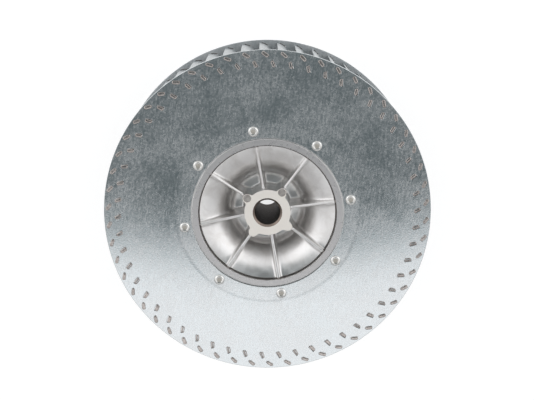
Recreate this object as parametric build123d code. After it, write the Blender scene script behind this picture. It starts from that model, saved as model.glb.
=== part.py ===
from build123d import *
import os
from math import cos, radians, sin

# Single-inlet centrifugal blower wheel with forward-curved blades: a sheet steel drum
# on a ribbed cast aluminium hub.  Lengths are in millimetres, angles in degrees.
#
# Frame: +Z runs along the shaft, the wheel stands on the blade tabs of its inlet ring
# at z = 0, and the closed back plate with the face of the hub is on top.
# Angles are counted anticlockwise about +Z from +X.

# ---- drum -------------------------------------------------------------------------
WHEEL_RADIUS = 140.0          # both sheet discs
BLADE_LENGTH = 94.3           # clear distance between the two discs
PLATE_THICKNESS = 1.5         # back plate
RING_THICKNESS = 1.2          # inlet ring
RING_WIDTH = 22.0             # inlet ring, from the inlet to its outer edge

# ---- blades -----------------------------------------------------------------------
BLADE_COUNT = 54
BLADE_THICKNESS = 0.8
BLADE_CURVE_RADIUS = 17.0     # middle of the sheet, rolled about one centre
FIRST_BLADE_ANGLE = 94.3      # inner tab of the first blade
TAB_INSET = 11.6              # inner tab, from the edge of the discs
TAB_LEAN = 21.8               # inner tab, turned from the radius
TAB_SPACING = 37.4            # inner to outer tab, about the centre of the curve
BLADE_TIP_LEAN = 76.0         # outer edge of the blade, about the same centre
TAB_WIDTH = 5.4
TAB_FOLD = 2.8                # width of the tab after it is bent flat on the disc
SLOT_CLEARANCE = 0.15         # all round a tab in its slot

# ---- hub casting ------------------------------------------------------------------
BORE_RADIUS = 11.0
BORE_CHAMFER = 2.2
BORE_LENGTH = 79.0
BOSS_WALL = 9.0               # round the bore, on the outer side of the web
BOSS_DEPTH = 4.0              # outer boss face below the outside of the back plate
COLLAR_WALL = 8.0             # round the bore, on the inner side of the web
PAD_COUNT = 4
PAD_RADIUS = 4.0              # ejector pads, standing half out of the boss
PAD_OFFSET = 1.4              # centre of a pad outside the round of the boss
PAD_FILLET = 2.5              # between a pad and the round of the boss
PAD_MARK_RADIUS = 3.7         # the two pads left as cast, lower than the turned face
PAD_MARK_DEPTH = 0.4
RIM_RADIUS = 64.8             # spigot that centres the back plate
RIM_WIDTH = 5.3
RIM_PROUD = 0.3
RIM_STEP_WIDTH = 2.0          # sloping step from the rim down to the dish
DISH_EDGE_DEPTH = 3.5         # all dish depths are below the outside of the back plate
DISH_LEDGE_WIDTH = 11.5       # gently sloping part, from the step to the shoulder
DISH_SHOULDER_DEPTH = 6.0
DISH_SHOULDER_ROUND = 22.0
DISH_FLOOR_WIDTH = 11.5       # from the boss to the foot of the dish
DISH_FLOOR_DEPTH = 33.0
DISH_FLOOR_BEVEL = 2.5        # between floor and dish, and between floor and boss
WEB_THICKNESS = 5.0
WEB_SLANT = 0.6               # outward shift of the web's back per thickness, for an even wall
FLANGE_MARGIN = 6.2           # from the rivets to the edge of the flange
FLANGE_THICKNESS = 5.0
RIB_COUNT = 8
FIRST_RIB_ANGLE = 9.6
RIB_THICKNESS = 2.6
RIB_RIM_DEPTH = 0.8           # top edge of a rib, at the rim
RIB_BOSS_DEPTH = 10.0         # and at the boss
PLATE_FIT = 0.2               # radial play between the spigot and the plate's hole

# ---- fasteners --------------------------------------------------------------------
RIVET_COUNT = 8
RIVET_SETBACK = 7.3           # from the spigot rim to the rivets
FIRST_RIVET_ANGLE = 9.6
RIVET_SHANK_RADIUS = 2.5
RIVET_HOLE_CLEARANCE = 0.1
RIVET_HEAD_RADIUS = 4.5
RIVET_HEAD_HEIGHT = 1.6
RIVET_CROWN_RADIUS = 2.65     # flat top of the head
RIVET_TAIL_RADIUS = 4.0
RIVET_TAIL_HEIGHT = 1.8
SCREW_RADIUS = 4.0            # set screw that grips the shaft
SCREW_CLEARANCE = 0.1
SCREW_FROM_END = 10.0         # from the inner end of the boss
SCREW_POINT_GAP = 0.4         # point of the screw, backed out of the bore
SCREW_POINT_CHAMFER = 1.2
SCREW_KEY_WIDTH = 4.0
SCREW_KEY_DEPTH = 3.5
SCREW_ANGLE = 54.6

# ---- levels along the shaft -------------------------------------------------------
RING_BOTTOM = BLADE_THICKNESS
BLADE_BOTTOM = RING_BOTTOM + RING_THICKNESS
BLADE_TOP = BLADE_BOTTOM + BLADE_LENGTH
PLATE_TOP = BLADE_TOP + PLATE_THICKNESS
BOSS_FACE = PLATE_TOP - BOSS_DEPTH
BOSS_END = BOSS_FACE - BORE_LENGTH
FLANGE_BOTTOM = BLADE_TOP - FLANGE_THICKNESS
SCREW_HEIGHT = BOSS_END + SCREW_FROM_END

# ---- radii that follow from these -------------------------------------------------
INLET_RADIUS = WHEEL_RADIUS - RING_WIDTH
TAB_RADIUS = WHEEL_RADIUS - TAB_INSET
RIVET_RADIUS = RIM_RADIUS + RIVET_SETBACK
FLANGE_RADIUS = RIVET_RADIUS + FLANGE_MARGIN
RIM_INNER_RADIUS = RIM_RADIUS - RIM_WIDTH
DISH_EDGE_RADIUS = RIM_INNER_RADIUS - RIM_STEP_WIDTH
DISH_SHOULDER_RADIUS = DISH_EDGE_RADIUS - DISH_LEDGE_WIDTH
BOSS_RADIUS = BORE_RADIUS + BOSS_WALL
DISH_FLOOR_RADIUS = BOSS_RADIUS + DISH_FLOOR_WIDTH
COLLAR_RADIUS = BORE_RADIUS + COLLAR_WALL
PAD_CENTRE_RADIUS = BOSS_RADIUS + PAD_OFFSET

# ---- blade curve ------------------------------------------------------------------
# The rolled curve is drawn in flats, so that each tab stands on the middle of one.
FLAT_ANGLE = TAB_SPACING / 2
FLATS_TO_INNER_TAB = 1.5
BEND_COUNT = 5
TAB_LEANS = [TAB_LEAN, TAB_LEAN + TAB_SPACING]
BEND_LEANS = [TAB_LEAN + (bend - FLATS_TO_INNER_TAB) * FLAT_ANGLE for bend in range(BEND_COUNT)]
LAST_FLAT_LEAN = TAB_LEAN + TAB_SPACING + FLAT_ANGLE
CURVE_CENTRE = (
    TAB_RADIUS - BLADE_CURVE_RADIUS * sin(radians(TAB_LEAN)),
    BLADE_CURVE_RADIUS * cos(radians(TAB_LEAN)),
)


def curve_point(radius, lean):
    """Point at a radius about the centre of the blade curve, where the sheet has this lean."""
    x = CURVE_CENTRE[0] + radius * sin(radians(lean))
    y = CURVE_CENTRE[1] - radius * cos(radians(lean))
    return x, y


def blade_face(radius):
    """Corners of one face of the blade, whose flats touch a circle of this radius."""
    bend_radius = radius / cos(radians(FLAT_ANGLE / 2))
    tip_radius = radius / cos(radians(LAST_FLAT_LEAN - BLADE_TIP_LEAN))
    corners = [curve_point(bend_radius, lean) for lean in BEND_LEANS]
    return corners + [curve_point(tip_radius, BLADE_TIP_LEAN)]


def tab_place(lean):
    """Place on the blade curve with +X along the sheet and +Y to the inside of the curve."""
    x, y = curve_point(BLADE_CURVE_RADIUS, lean)
    return Pos(x, y) * Rot(Z=lean)


def tab(sheet_thickness):
    """One tab, standing up through a sheet from z = 0 and bent flat on its far side."""
    neck = Box(TAB_WIDTH, BLADE_THICKNESS, sheet_thickness + BLADE_THICKNESS, align=(
        Align.CENTER, Align.CENTER, Align.MIN))
    fold = Box(TAB_WIDTH, TAB_FOLD, BLADE_THICKNESS, align=(
        Align.CENTER, Align.MIN, Align.MIN))
    return neck + Pos(0, -BLADE_THICKNESS / 2, sheet_thickness) * fold


def make_blade():
    """One blade with two tabs at each end, lying with its inner tabs on the X axis."""
    concave = blade_face(BLADE_CURVE_RADIUS - BLADE_THICKNESS / 2)
    convex = blade_face(BLADE_CURVE_RADIUS + BLADE_THICKNESS / 2)
    section = make_face(Polyline(*concave, *reversed(convex), close=True))
    blade = Pos(0, 0, BLADE_BOTTOM) * extrude(section, BLADE_LENGTH)
    upper_tab = Pos(0, 0, BLADE_TOP) * tab(PLATE_THICKNESS)
    lower_tab = Pos(0, 0, BLADE_BOTTOM) * mirror(tab(RING_THICKNESS), Plane.XY)
    for lean in TAB_LEANS:
        blade += tab_place(lean) * upper_tab
        blade += tab_place(lean) * lower_tab
    return blade


def blade_angles():
    """Angle of each blade about the shaft."""
    return [FIRST_BLADE_ANGLE + 360 / BLADE_COUNT * number for number in range(BLADE_COUNT)]


def tab_slots():
    """Outlines of every slot that a sheet has for the tabs."""
    slot = Rectangle(TAB_WIDTH + 2 * SLOT_CLEARANCE, BLADE_THICKNESS + 2 * SLOT_CLEARANCE)
    places = [Rot(Z=angle) * tab_place(lean) for angle in blade_angles() for lean in TAB_LEANS]
    return [place * slot for place in places]


def rivet_places():
    """Centre of each rivet, on the circle through the hub's flange."""
    return PolarLocations(RIVET_RADIUS, RIVET_COUNT, FIRST_RIVET_ANGLE)


def rivet_holes():
    """Outlines of the rivet holes, alike in the back plate and in the flange."""
    hole = Circle(RIVET_SHANK_RADIUS + RIVET_HOLE_CLEARANCE)
    return [place * hole for place in rivet_places()]


def make_back_plate():
    """Closed disc with the slots, the spigot hole and the rivet holes."""
    disc = Circle(WHEEL_RADIUS) - Circle(RIM_RADIUS + PLATE_FIT) - tab_slots() - rivet_holes()
    return Pos(0, 0, BLADE_TOP) * extrude(disc, PLATE_THICKNESS)


def make_inlet_ring():
    """Flat ring around the inlet, with the same slots."""
    ring = Circle(WHEEL_RADIUS) - Circle(INLET_RADIUS) - tab_slots()
    return Pos(0, 0, RING_BOTTOM) * extrude(ring, RING_THICKNESS)


def dish_corners(depth):
    """Corners of the dish between rim and boss, moved into the wall by a depth."""
    surface = [
        (DISH_EDGE_RADIUS, DISH_EDGE_DEPTH),
        (DISH_SHOULDER_RADIUS, DISH_SHOULDER_DEPTH),
        (DISH_FLOOR_RADIUS, DISH_FLOOR_DEPTH),
        (BOSS_RADIUS, DISH_FLOOR_DEPTH),
    ]
    outward = WEB_SLANT * depth
    return [(radius + outward, PLATE_TOP - down - depth) for radius, down in surface]


def hub_section():
    """Half section of the casting in the XZ plane, without its bore."""
    edge, shoulder, floor, root = dish_corners(0)
    _, back_shoulder, back_floor, _ = dish_corners(WEB_THICKNESS)
    rim_top = PLATE_TOP + RIM_PROUD
    outline = [
        (0, BOSS_FACE), (BOSS_RADIUS, BOSS_FACE), root, floor, shoulder, edge,
        (RIM_INNER_RADIUS, rim_top), (RIM_RADIUS, rim_top), (RIM_RADIUS, BLADE_TOP),
        (FLANGE_RADIUS, BLADE_TOP), (FLANGE_RADIUS, FLANGE_BOTTOM),
        (RIM_RADIUS, FLANGE_BOTTOM), back_shoulder, back_floor,
        (COLLAR_RADIUS, back_floor[1]), (COLLAR_RADIUS, BOSS_END), (0, BOSS_END),
    ]
    section = make_face(Polyline(*outline, close=True))
    section = fillet(corner_at(section, shoulder), DISH_SHOULDER_ROUND)
    for corner in (floor, root):
        section = chamfer(corner_at(section, corner), DISH_FLOOR_BEVEL)
    return Rot(X=90) * section


def corner_at(section, point):
    """The corner of a section that lies at a point."""
    return section.vertices().sort_by_distance((*point, 0))[0]


def boss_pillar():
    """Outer part of the boss with its pads blended in, from the dish floor to the face."""
    pads = PolarLocations(PAD_CENTRE_RADIUS, PAD_COUNT, FIRST_RIB_ANGLE + 180 / PAD_COUNT)
    outline = Circle(BOSS_RADIUS) + [place * Circle(PAD_RADIUS) for place in pads]
    outline = fillet(outline.vertices(), PAD_FILLET)
    height = DISH_FLOOR_DEPTH - BOSS_DEPTH + WEB_THICKNESS / 2
    return Pos(0, 0, BOSS_FACE - height) * extrude(outline, height)


def make_rib():
    """One rib on the X axis, standing on the dish between rim and boss."""
    edge, shoulder, floor, _ = dish_corners(WEB_THICKNESS / 2)
    inside = BOSS_RADIUS - RIB_THICKNESS
    outside = RIM_INNER_RADIUS + RIB_THICKNESS
    outline = [
        (inside, PLATE_TOP - RIB_BOSS_DEPTH), (outside, PLATE_TOP - RIB_RIM_DEPTH),
        (outside, edge[1]), shoulder, floor, (inside, floor[1]),
    ]
    profile = Rot(X=90) * make_face(Polyline(*outline, close=True))
    return extrude(profile, RIB_THICKNESS / 2, both=True)


def pad_marks():
    """Shallow round marks in the two pads that the turning tool doesn't reach."""
    mark = Cylinder(PAD_MARK_RADIUS, PAD_MARK_DEPTH, align=(
        Align.CENTER, Align.CENTER, Align.MAX))
    pads = list(PolarLocations(PAD_CENTRE_RADIUS, PAD_COUNT, FIRST_RIB_ANGLE + 180 / PAD_COUNT))
    return [Pos(0, 0, BOSS_FACE) * place * mark for place in pads[:PAD_COUNT // 2]]


def make_hub():
    """Ribbed hub casting with its bore, screw hole and rivet holes."""
    hub = revolve(hub_section(), Axis.Z)
    hub += boss_pillar()
    hub += [Rot(Z=FIRST_RIB_ANGLE + 360 / RIB_COUNT * number) * make_rib()
            for number in range(RIB_COUNT)]
    hub -= pad_marks()
    hub -= Pos(0, 0, BOSS_END) * extrude(Circle(BORE_RADIUS), BORE_LENGTH)
    hub -= Pos(0, 0, BOSS_FACE) * Cone(
        BORE_RADIUS, BORE_RADIUS + BORE_CHAMFER, BORE_CHAMFER, align=(
            Align.CENTER, Align.CENTER, Align.MAX))
    hub -= Pos(0, 0, FLANGE_BOTTOM) * extrude(Sketch() + rivet_holes(), FLANGE_THICKNESS)
    hub -= screw_place() * Cylinder(SCREW_RADIUS + SCREW_CLEARANCE, BOSS_RADIUS, align=(
        Align.CENTER, Align.CENTER, Align.MIN))
    return hub


def screw_place():
    """Start of the screw hole on the shaft's axis, with +Z pointing out of the boss."""
    return Rot(Z=SCREW_ANGLE) * Pos(0, 0, SCREW_HEIGHT) * Rot(Y=90)


def make_set_screw():
    """Headless screw with a hexagon socket, flush with the boss."""
    start = BORE_RADIUS + SCREW_POINT_GAP
    length = COLLAR_RADIUS - start
    screw = Cylinder(SCREW_RADIUS, length, align=(Align.CENTER, Align.CENTER, Align.MIN))
    point = screw.edges().filter_by(GeomType.CIRCLE).sort_by(Axis.Z)[0]
    screw = chamfer(point, SCREW_POINT_CHAMFER)
    socket = RegularPolygon(SCREW_KEY_WIDTH / 2, 6, major_radius=False)
    screw -= Pos(0, 0, length - SCREW_KEY_DEPTH) * extrude(socket, SCREW_KEY_DEPTH)
    return screw_place() * Pos(0, 0, start) * screw


def make_rivets():
    """Solid rivets through back plate and flange, each closed over on both sides."""
    crown = PLATE_TOP + RIVET_HEAD_HEIGHT
    tail_end = FLANGE_BOTTOM - RIVET_TAIL_HEIGHT
    outline = [
        (0, crown), (RIVET_CROWN_RADIUS, crown),
        (RIVET_HEAD_RADIUS, PLATE_TOP), (RIVET_SHANK_RADIUS, PLATE_TOP),
        (RIVET_SHANK_RADIUS, FLANGE_BOTTOM), (RIVET_TAIL_RADIUS, FLANGE_BOTTOM),
        (RIVET_TAIL_RADIUS, tail_end), (0, tail_end),
    ]
    rivet = revolve(Rot(X=90) * make_face(Polyline(*outline, close=True)), Axis.Z)
    return Compound([place * rivet for place in rivet_places()])


def main():
    """Write one STEP file for each piece."""
    os.makedirs("parts", exist_ok=True)
    export_step(make_back_plate(), "parts/back_plate.step")
    export_step(make_inlet_ring(), "parts/inlet_ring.step")
    export_step(make_hub(), "parts/hub.step")
    export_step(make_rivets(), "parts/rivets.step")
    export_step(make_set_screw(), "parts/set_screw.step")
    blade = make_blade()
    for number, angle in enumerate(blade_angles(), start=1):
        export_step(Rot(Z=angle) * blade, f"parts/blade_{number:02d}.step")


if __name__ == "__main__":
    main()
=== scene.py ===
"""Looks of a single-inlet centrifugal blower wheel with forward-curved blades.

Two galvanised sheets and 54 rolled blades make the drum, and a ribbed cast aluminium
hub is riveted into its closed back plate. Sizes inside the classes are in millimetres
and degrees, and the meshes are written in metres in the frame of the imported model:
+Z along the shaft, the tabs of the inlet ring on z = 0.
"""

import logging
import math
import random
from collections.abc import Callable, Sequence
from dataclasses import dataclass, field
from enum import Enum

import bmesh
import bpy
from mathutils import Matrix, Vector
from mathutils.geometry import delaunay_2d_cdt


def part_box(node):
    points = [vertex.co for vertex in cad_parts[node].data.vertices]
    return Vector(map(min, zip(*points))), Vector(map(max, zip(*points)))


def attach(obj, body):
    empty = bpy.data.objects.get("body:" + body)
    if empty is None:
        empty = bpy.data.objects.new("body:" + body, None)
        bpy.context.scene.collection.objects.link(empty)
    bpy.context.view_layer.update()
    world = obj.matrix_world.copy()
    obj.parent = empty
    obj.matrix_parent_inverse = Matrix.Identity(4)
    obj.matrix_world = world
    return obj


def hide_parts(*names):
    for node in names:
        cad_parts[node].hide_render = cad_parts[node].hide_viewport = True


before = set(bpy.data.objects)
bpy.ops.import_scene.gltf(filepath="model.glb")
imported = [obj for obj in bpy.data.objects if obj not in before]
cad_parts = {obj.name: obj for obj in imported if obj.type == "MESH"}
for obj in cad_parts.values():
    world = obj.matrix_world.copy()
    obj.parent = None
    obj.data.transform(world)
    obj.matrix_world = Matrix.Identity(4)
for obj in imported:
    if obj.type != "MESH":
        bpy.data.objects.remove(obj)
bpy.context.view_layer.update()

LOG = logging.getLogger("blower_wheel")
MM = 0.001
FILL_INSIDE = 1           # the fill keeps the triangles inside the loops
FILL_TOLERANCE = 1e-5
PLATE_HOLE_RADIUS = 65.6  # where the hub's rim comes through the back plate
INLET_RADIUS = 118.0      # the mouth of the inlet ring
Flat = tuple[float, float]
Point = tuple[float, float, float]


# ---- colours and nodes --------------------------------------------------------------
def linear(colour: str) -> tuple[float, float, float, float]:
    """Turn an sRGB hex colour into linear red, green, blue and alpha.

    Args:
        colour: The colour as "#rrggbb".

    Returns:
        Four numbers for a colour socket.
    """
    parts = [int(colour[start:start + 2], 16) / 255 for start in (1, 3, 5)]
    red, green, blue = (
        part / 12.92 if part <= 0.04045 else ((part + 0.055) / 1.055) ** 2.4 for part in parts
    )
    return red, green, blue, 1.0


def add_node(
    tree: bpy.types.NodeTree,
    kind: str,
    settings: dict[str | int, object] | None = None,
    links: dict[str | int, bpy.types.NodeSocket] | None = None,
) -> bpy.types.Node:
    """Add a node with its settings and links.

    Args:
        tree: The node tree that gets the node.
        kind: The node's type, such as "ShaderNodeBump".
        settings: Values by property name, or by the name or number of an input.
        links: Output sockets by the name or number of the input that they feed.

    Returns:
        The new node.
    """
    node = tree.nodes.new(kind)
    for key, value in (settings or {}).items():
        if isinstance(key, str) and hasattr(node, key):
            setattr(node, key, value)
        else:
            node.inputs[key].default_value = value
    for key, socket in (links or {}).items():
        tree.links.new(socket, node.inputs[key])
    return node


# ---- shells -------------------------------------------------------------------------
class Shell:
    """Rings of corners in millimetres, joined by bands of faces and closed by caps."""

    def __init__(self) -> None:
        """Start with nothing."""
        self.corners: list[Point] = []
        self.faces: list[tuple[int, ...]] = []
        self.slots: list[int] = []
        self.smooth: list[bool] = []

    def ring(self, points: Sequence[Point]) -> list[int]:
        """Add corners.

        Args:
            points: The corners, in order round the ring.

        Returns:
            The numbers of the new corners.
        """
        start = len(self.corners)
        self.corners.extend(points)
        return list(range(start, len(self.corners)))

    def band(self, first: list[int], second: list[int], slot: int = 0) -> None:
        """Join two closed rings by quads.

        Args:
            first: One ring.
            second: The other, with as many corners.
            slot: The number of the faces' material.
        """
        for here in range(len(first)):
            after = (here + 1) % len(first)
            self.faces.append((first[here], first[after], second[after], second[here]))
            self.slots.append(slot)
            self.smooth.append(True)

    def cap(self, rings: list[list[int]], slot: int = 0) -> None:
        """Fill the level area inside the first ring and outside the others.

        Args:
            rings: The outer ring, and then the rings of the holes in it.
            slot: The number of the faces' material.
        """
        numbers = [number for ring in rings for number in ring]
        places = [Vector(self.corners[number][:2]) for number in numbers]
        loops, start = [], 0
        for ring in rings:
            loops.append(list(range(start, start + len(ring))))
            start += len(ring)
        _, _, triangles, sources, _, loops_over = delaunay_2d_cdt(
            places, [], loops, FILL_INSIDE, FILL_TOLERANCE)
        for triangle, over in zip(triangles, loops_over):
            if len(over) == 1:
                self.faces.append(tuple(numbers[sources[corner][0]] for corner in triangle))
                self.slots.append(slot)
                self.smooth.append(False)

    def chain(self, rings: list[list[int]], slot: int = 0) -> None:
        """Join rings one after another."""
        for first, second in zip(rings, rings[1:]):
            self.band(first, second, slot)

    def stack(self, rings: list[list[int]], slot: int = 0) -> None:
        """Join rings one after another, with a cap at each end.

        Args:
            rings: The rings, from one end of the body to the other.
            slot: The number of the faces' material.
        """
        self.chain(rings, slot)
        self.cap([rings[0]], slot)
        self.cap([rings[-1]], slot)

    def to_object(
        self, name: str, materials: Sequence[bpy.types.Material], crease: float = 40.0
    ) -> bpy.types.Object:
        """Write the shell as a mesh object in metres.

        Args:
            name: The piece's name.
            materials: Its materials, in the order of the slot numbers.
            crease: Edges that turn by more degrees than this stay sharp.

        Returns:
            The new object, linked to the scene.
        """
        mesh = bpy.data.meshes.new(name)
        mesh.from_pydata([tuple(value * MM for value in corner) for corner in self.corners],
                         [], self.faces)
        for material in materials:
            mesh.materials.append(material)
        mesh.polygons.foreach_set("material_index", self.slots)
        work = bmesh.new()
        work.from_mesh(mesh)
        bmesh.ops.recalc_face_normals(work, faces=work.faces)
        work.to_mesh(mesh)
        work.free()
        mesh.set_sharp_from_angle(angle=math.radians(crease))
        mesh.polygons.foreach_set("use_smooth", self.smooth)
        piece = bpy.data.objects.new(name, mesh)
        bpy.context.scene.collection.objects.link(piece)
        return piece


def circle(radius: float, count: int, centre: Flat = (0.0, 0.0)) -> list[Flat]:
    """Draw a circle.

    Args:
        radius: Its radius.
        count: How many points it gets.
        centre: Its middle.

    Returns:
        Points round it, anticlockwise.
    """
    return [
        (centre[0] + radius * math.cos(2 * math.pi * step / count),
         centre[1] + radius * math.sin(2 * math.pi * step / count))
        for step in range(count)
    ]


def rounded_box(length: float, width: float, corner: float, steps: int) -> list[Flat]:
    """Return the outline of a rectangle with rounded corners.

    Args:
        length: Its size along X.
        width: Its size along Y.
        corner: The radius of its corners.
        steps: Points after the first in each corner.

    Returns:
        Points round it, anticlockwise.
    """
    points = []
    for quarter, (side, level) in enumerate(((1, 1), (-1, 1), (-1, -1), (1, -1))):
        for step in range(steps + 1):
            angle = math.radians(90 * (quarter + step / steps))
            points.append((side * (length / 2 - corner) + corner * math.cos(angle),
                           level * (width / 2 - corner) + corner * math.sin(angle)))
    return points


def rounded_path(corners: Sequence[tuple[float, float, float]], step: float) -> list[Flat]:
    """Round the corners of an open path.

    Args:
        corners: Radius from the shaft, height and rounding of each corner.
        step: The most that the path turns at one point, in degrees.

    Returns:
        Points along the path.
    """
    path = [Vector(corners[0][:2])]
    for before, here, after in zip(corners, corners[1:], corners[2:]):
        corner, rounding = Vector(here[:2]), here[2]
        back = (Vector(before[:2]) - corner).normalized()
        ahead = (Vector(after[:2]) - corner).normalized()
        turn = math.pi - back.angle(ahead)
        if rounding <= 0 or turn < 1e-3:
            path.append(corner)
            continue
        reach = rounding * math.tan(turn / 2)
        middle = corner + (back + ahead).normalized() * (rounding / math.cos(turn / 2))
        count = max(2, math.ceil(math.degrees(turn) / step))
        start, end = corner + back * reach - middle, corner + ahead * reach - middle
        for number in range(count + 1):
            share = number / count
            spread = (start * math.sin((1 - share) * turn) + end * math.sin(share * turn))
            path.append(middle + spread / math.sin(turn))
    path.append(Vector(corners[-1][:2]))
    return [(point.x, point.y) for point in path]


def placed(points: Sequence[Flat], place: Matrix, height: float) -> list[Point]:
    """Move flat points by a placement and lift them to a height."""
    moved = (place @ Vector((x, y, 0.0)) for x, y in points)
    return [(point.x, point.y, height) for point in moved]


def show(piece: bpy.types.Object, slot: str, *nodes: str) -> None:
    """Ride a piece on the wheel in place of its nodes, and report it.

    Args:
        piece: The finished piece.
        *nodes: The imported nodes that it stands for.
    """
    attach(piece, "root")
    if nodes:
        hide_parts(*nodes)
    LOG.info("%s: %d faces, stands for %d nodes",
             piece.name, len(piece.data.polygons), len(nodes))


# ---- finishes -----------------------------------------------------------------------
@dataclass(frozen=True)
class Metal:
    """What every metal of the wheel has: its name, its colour and its gloss."""

    name: str
    colour: str
    roughness: float

    def start(self) -> tuple[bpy.types.Material, bpy.types.Node, bpy.types.NodeSocket]:
        """Make the material.

        Returns:
            The material, its shader and the position on the wheel in metres.
        """
        material = bpy.data.materials.new(self.name)
        material.use_nodes = True
        tree = material.node_tree
        tree.nodes.clear()
        shader = add_node(tree, "ShaderNodeBsdfPrincipled", {
            "Base Color": linear(self.colour), "Metallic": 1.0, "Roughness": self.roughness,
        })
        add_node(tree, "ShaderNodeOutputMaterial", links={"Surface": shader.outputs[0]})
        place = add_node(tree, "ShaderNodeTexCoord").outputs["Object"]
        return material, shader, place

    def emboss(
        self, tree: bpy.types.NodeTree, shader: bpy.types.Node,
        layers: Sequence[tuple[bpy.types.NodeSocket, float, float]],
    ) -> None:
        """Raise patterns from the surface, one over another.

        Args:
            tree: The material's node tree.
            shader: The material's shader.
            layers: For each pattern its height, its strength and its depth in metres.
        """
        normal = {}
        for height, strength, depth in layers:
            bump = add_node(tree, "ShaderNodeBump", {"Strength": strength, "Distance": depth},
                            {"Height": height, **normal})
            normal = {"Normal": bump.outputs[0]}
        tree.links.new(normal["Normal"], shader.inputs["Normal"])


@dataclass(frozen=True)
class GalvanisedSheet(Metal):
    """Hot-dip galvanised steel sheet, skin-passed: a zinc skin with faint crystals, the
    fine grain of the blasted mill rolls and the scratches of handling. A thin pale oxide
    takes the mirror off the zinc in flecks, clouds and streaks along the rolling."""

    name: str = "galvanised_steel_skin_passed"
    colour: str = "#d2d4d5"
    roughness: float = 0.085
    pale_colour: str = "#ececec"
    dull_colour: str = "#c5cacc"
    bare_share: float = 0.64      # of the zinc that shows where its pale oxide is thickest
    grain: float = 1.1            # roll texture, drawn coarser than the real 0.2 mm
    fleck: float = 1.7            # small crystals of the zinc skin
    crystal: float = 7.0
    cloud: float = 34.0
    cloud_share: float = 0.6      # of clouds and of streaks in the oxide, beside the flecks
    oxide_range: Flat = (0.90, 1.24)
    scratch_width: float = 0.45   # drawn wider than a real hairline scratch
    scratch_length: float = 22.0
    scratch_angles: tuple[float, ...] = (12.0, 74.0, 128.0)
    scratch_roughness: float = 0.5
    flange_mark_radius: float = 78.3
    flange_mark_width: float = 1.8
    flange_rub: float = 0.022     # how much rougher the sheet is over the flange
    flange_oxide: float = 0.07    # and how much more oxide it has there
    streak_width: float = 1.5     # marks of the skin pass, along the rolling direction
    streak_length: float = 9.0
    streak_angle: float = 8.0

    def build(self) -> bpy.types.Material:
        """Return the material."""
        material, shader, place = self.start()
        tree = material.node_tree
        grain = add_node(tree, "ShaderNodeTexNoise", {
            "Scale": 1 / (self.grain * MM), "Detail": 4.0, "Roughness": 0.7,
        }, {"Vector": place}).outputs[0]
        crystal = add_node(tree, "ShaderNodeTexVoronoi", {
            "Scale": 1 / (self.crystal * MM), "Randomness": 1.0,
        }, {"Vector": place}).outputs["Color"]
        cloud = add_node(tree, "ShaderNodeTexNoise", {
            "Scale": 1 / (self.cloud * MM), "Detail": 5.0, "Roughness": 0.6,
        }, {"Vector": place}).outputs[0]
        fleck = add_node(tree, "ShaderNodeTexNoise", {
            "Scale": 1 / (self.fleck * MM), "Detail": 3.0, "Roughness": 0.75, "Distortion": 0.5,
        }, {"Vector": place}).outputs[0]
        along = self.drawn_out(tree, place, self.streak_angle, self.streak_width,
                               self.streak_length)
        streak = add_node(tree, "ShaderNodeTexNoise", {
            "Scale": 1.0, "Detail": 4.0, "Roughness": 0.7, "Distortion": 0.4,
        }, {"Vector": along}).outputs[0]
        mark = self.flange_mark(tree, place)
        scratches = self.scratches(tree, place)

        tone = self.summed(tree, fleck, (
            (cloud, self.cloud_share), (streak, self.cloud_share), (mark, -self.flange_oxide)))
        oxide = add_node(tree, "ShaderNodeMapRange", {
            "From Min": self.oxide_range[0], "From Max": self.oxide_range[1],
        }, {"Value": tone}).outputs[0]
        bare = add_node(tree, "ShaderNodeMapRange", {
            "To Min": 1.0, "To Max": self.bare_share}, {"Value": oxide}).outputs[0]
        colour = add_node(tree, "ShaderNodeMix", {
            "data_type": "RGBA", 6: linear(self.dull_colour), 7: linear(self.colour),
        }, {0: oxide}).outputs[2]
        colour = add_node(tree, "ShaderNodeMix", {
            "data_type": "RGBA", 7: linear(self.pale_colour),
        }, {0: scratches, 6: colour}).outputs[2]

        changes = []
        for value, low, high, smoother, rougher in (
            (grain, 0.3, 0.7, self.roughness - 0.03, self.roughness + 0.05),
            (crystal, 0.0, 1.0, -0.01, 0.01),
            (cloud, 0.35, 0.65, -0.01, 0.015),
            (streak, 0.35, 0.65, -0.02, 0.04),
        ):
            changes.append(add_node(tree, "ShaderNodeMapRange", {
                "From Min": low, "From Max": high, "To Min": smoother, "To Max": rougher,
            }, {"Value": value}).outputs[0])
        rough = self.summed(tree, changes[0], (
            *((change, 1.0) for change in changes[1:]), (mark, -self.flange_rub)))
        rough = add_node(tree, "ShaderNodeMix", {
            "data_type": "FLOAT", 3: self.scratch_roughness,
        }, {0: scratches, 2: rough}).outputs[0]

        tree.links.new(bare, shader.inputs["Metallic"])
        tree.links.new(colour, shader.inputs["Base Color"])
        tree.links.new(rough, shader.inputs["Roughness"])
        self.emboss(tree, shader, (
            (grain, 0.05, 0.0004), (cloud, 0.05, 0.0006), (mark, 0.06, 0.0004)))
        return material

    def summed(
        self, tree: bpy.types.NodeTree, first: bpy.types.NodeSocket,
        others: Sequence[tuple[bpy.types.NodeSocket, float]],
    ) -> bpy.types.NodeSocket:
        """Add patterns to one another.

        Args:
            tree: The material's node tree.
            first: The pattern that counts in full.
            others: The other patterns, each with its share.

        Returns:
            Their sum.
        """
        total = first
        for pattern, share in others:
            total = add_node(tree, "ShaderNodeMath", {"operation": "MULTIPLY_ADD", 1: share},
                             {0: pattern, 2: total}).outputs[0]
        return total

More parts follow.
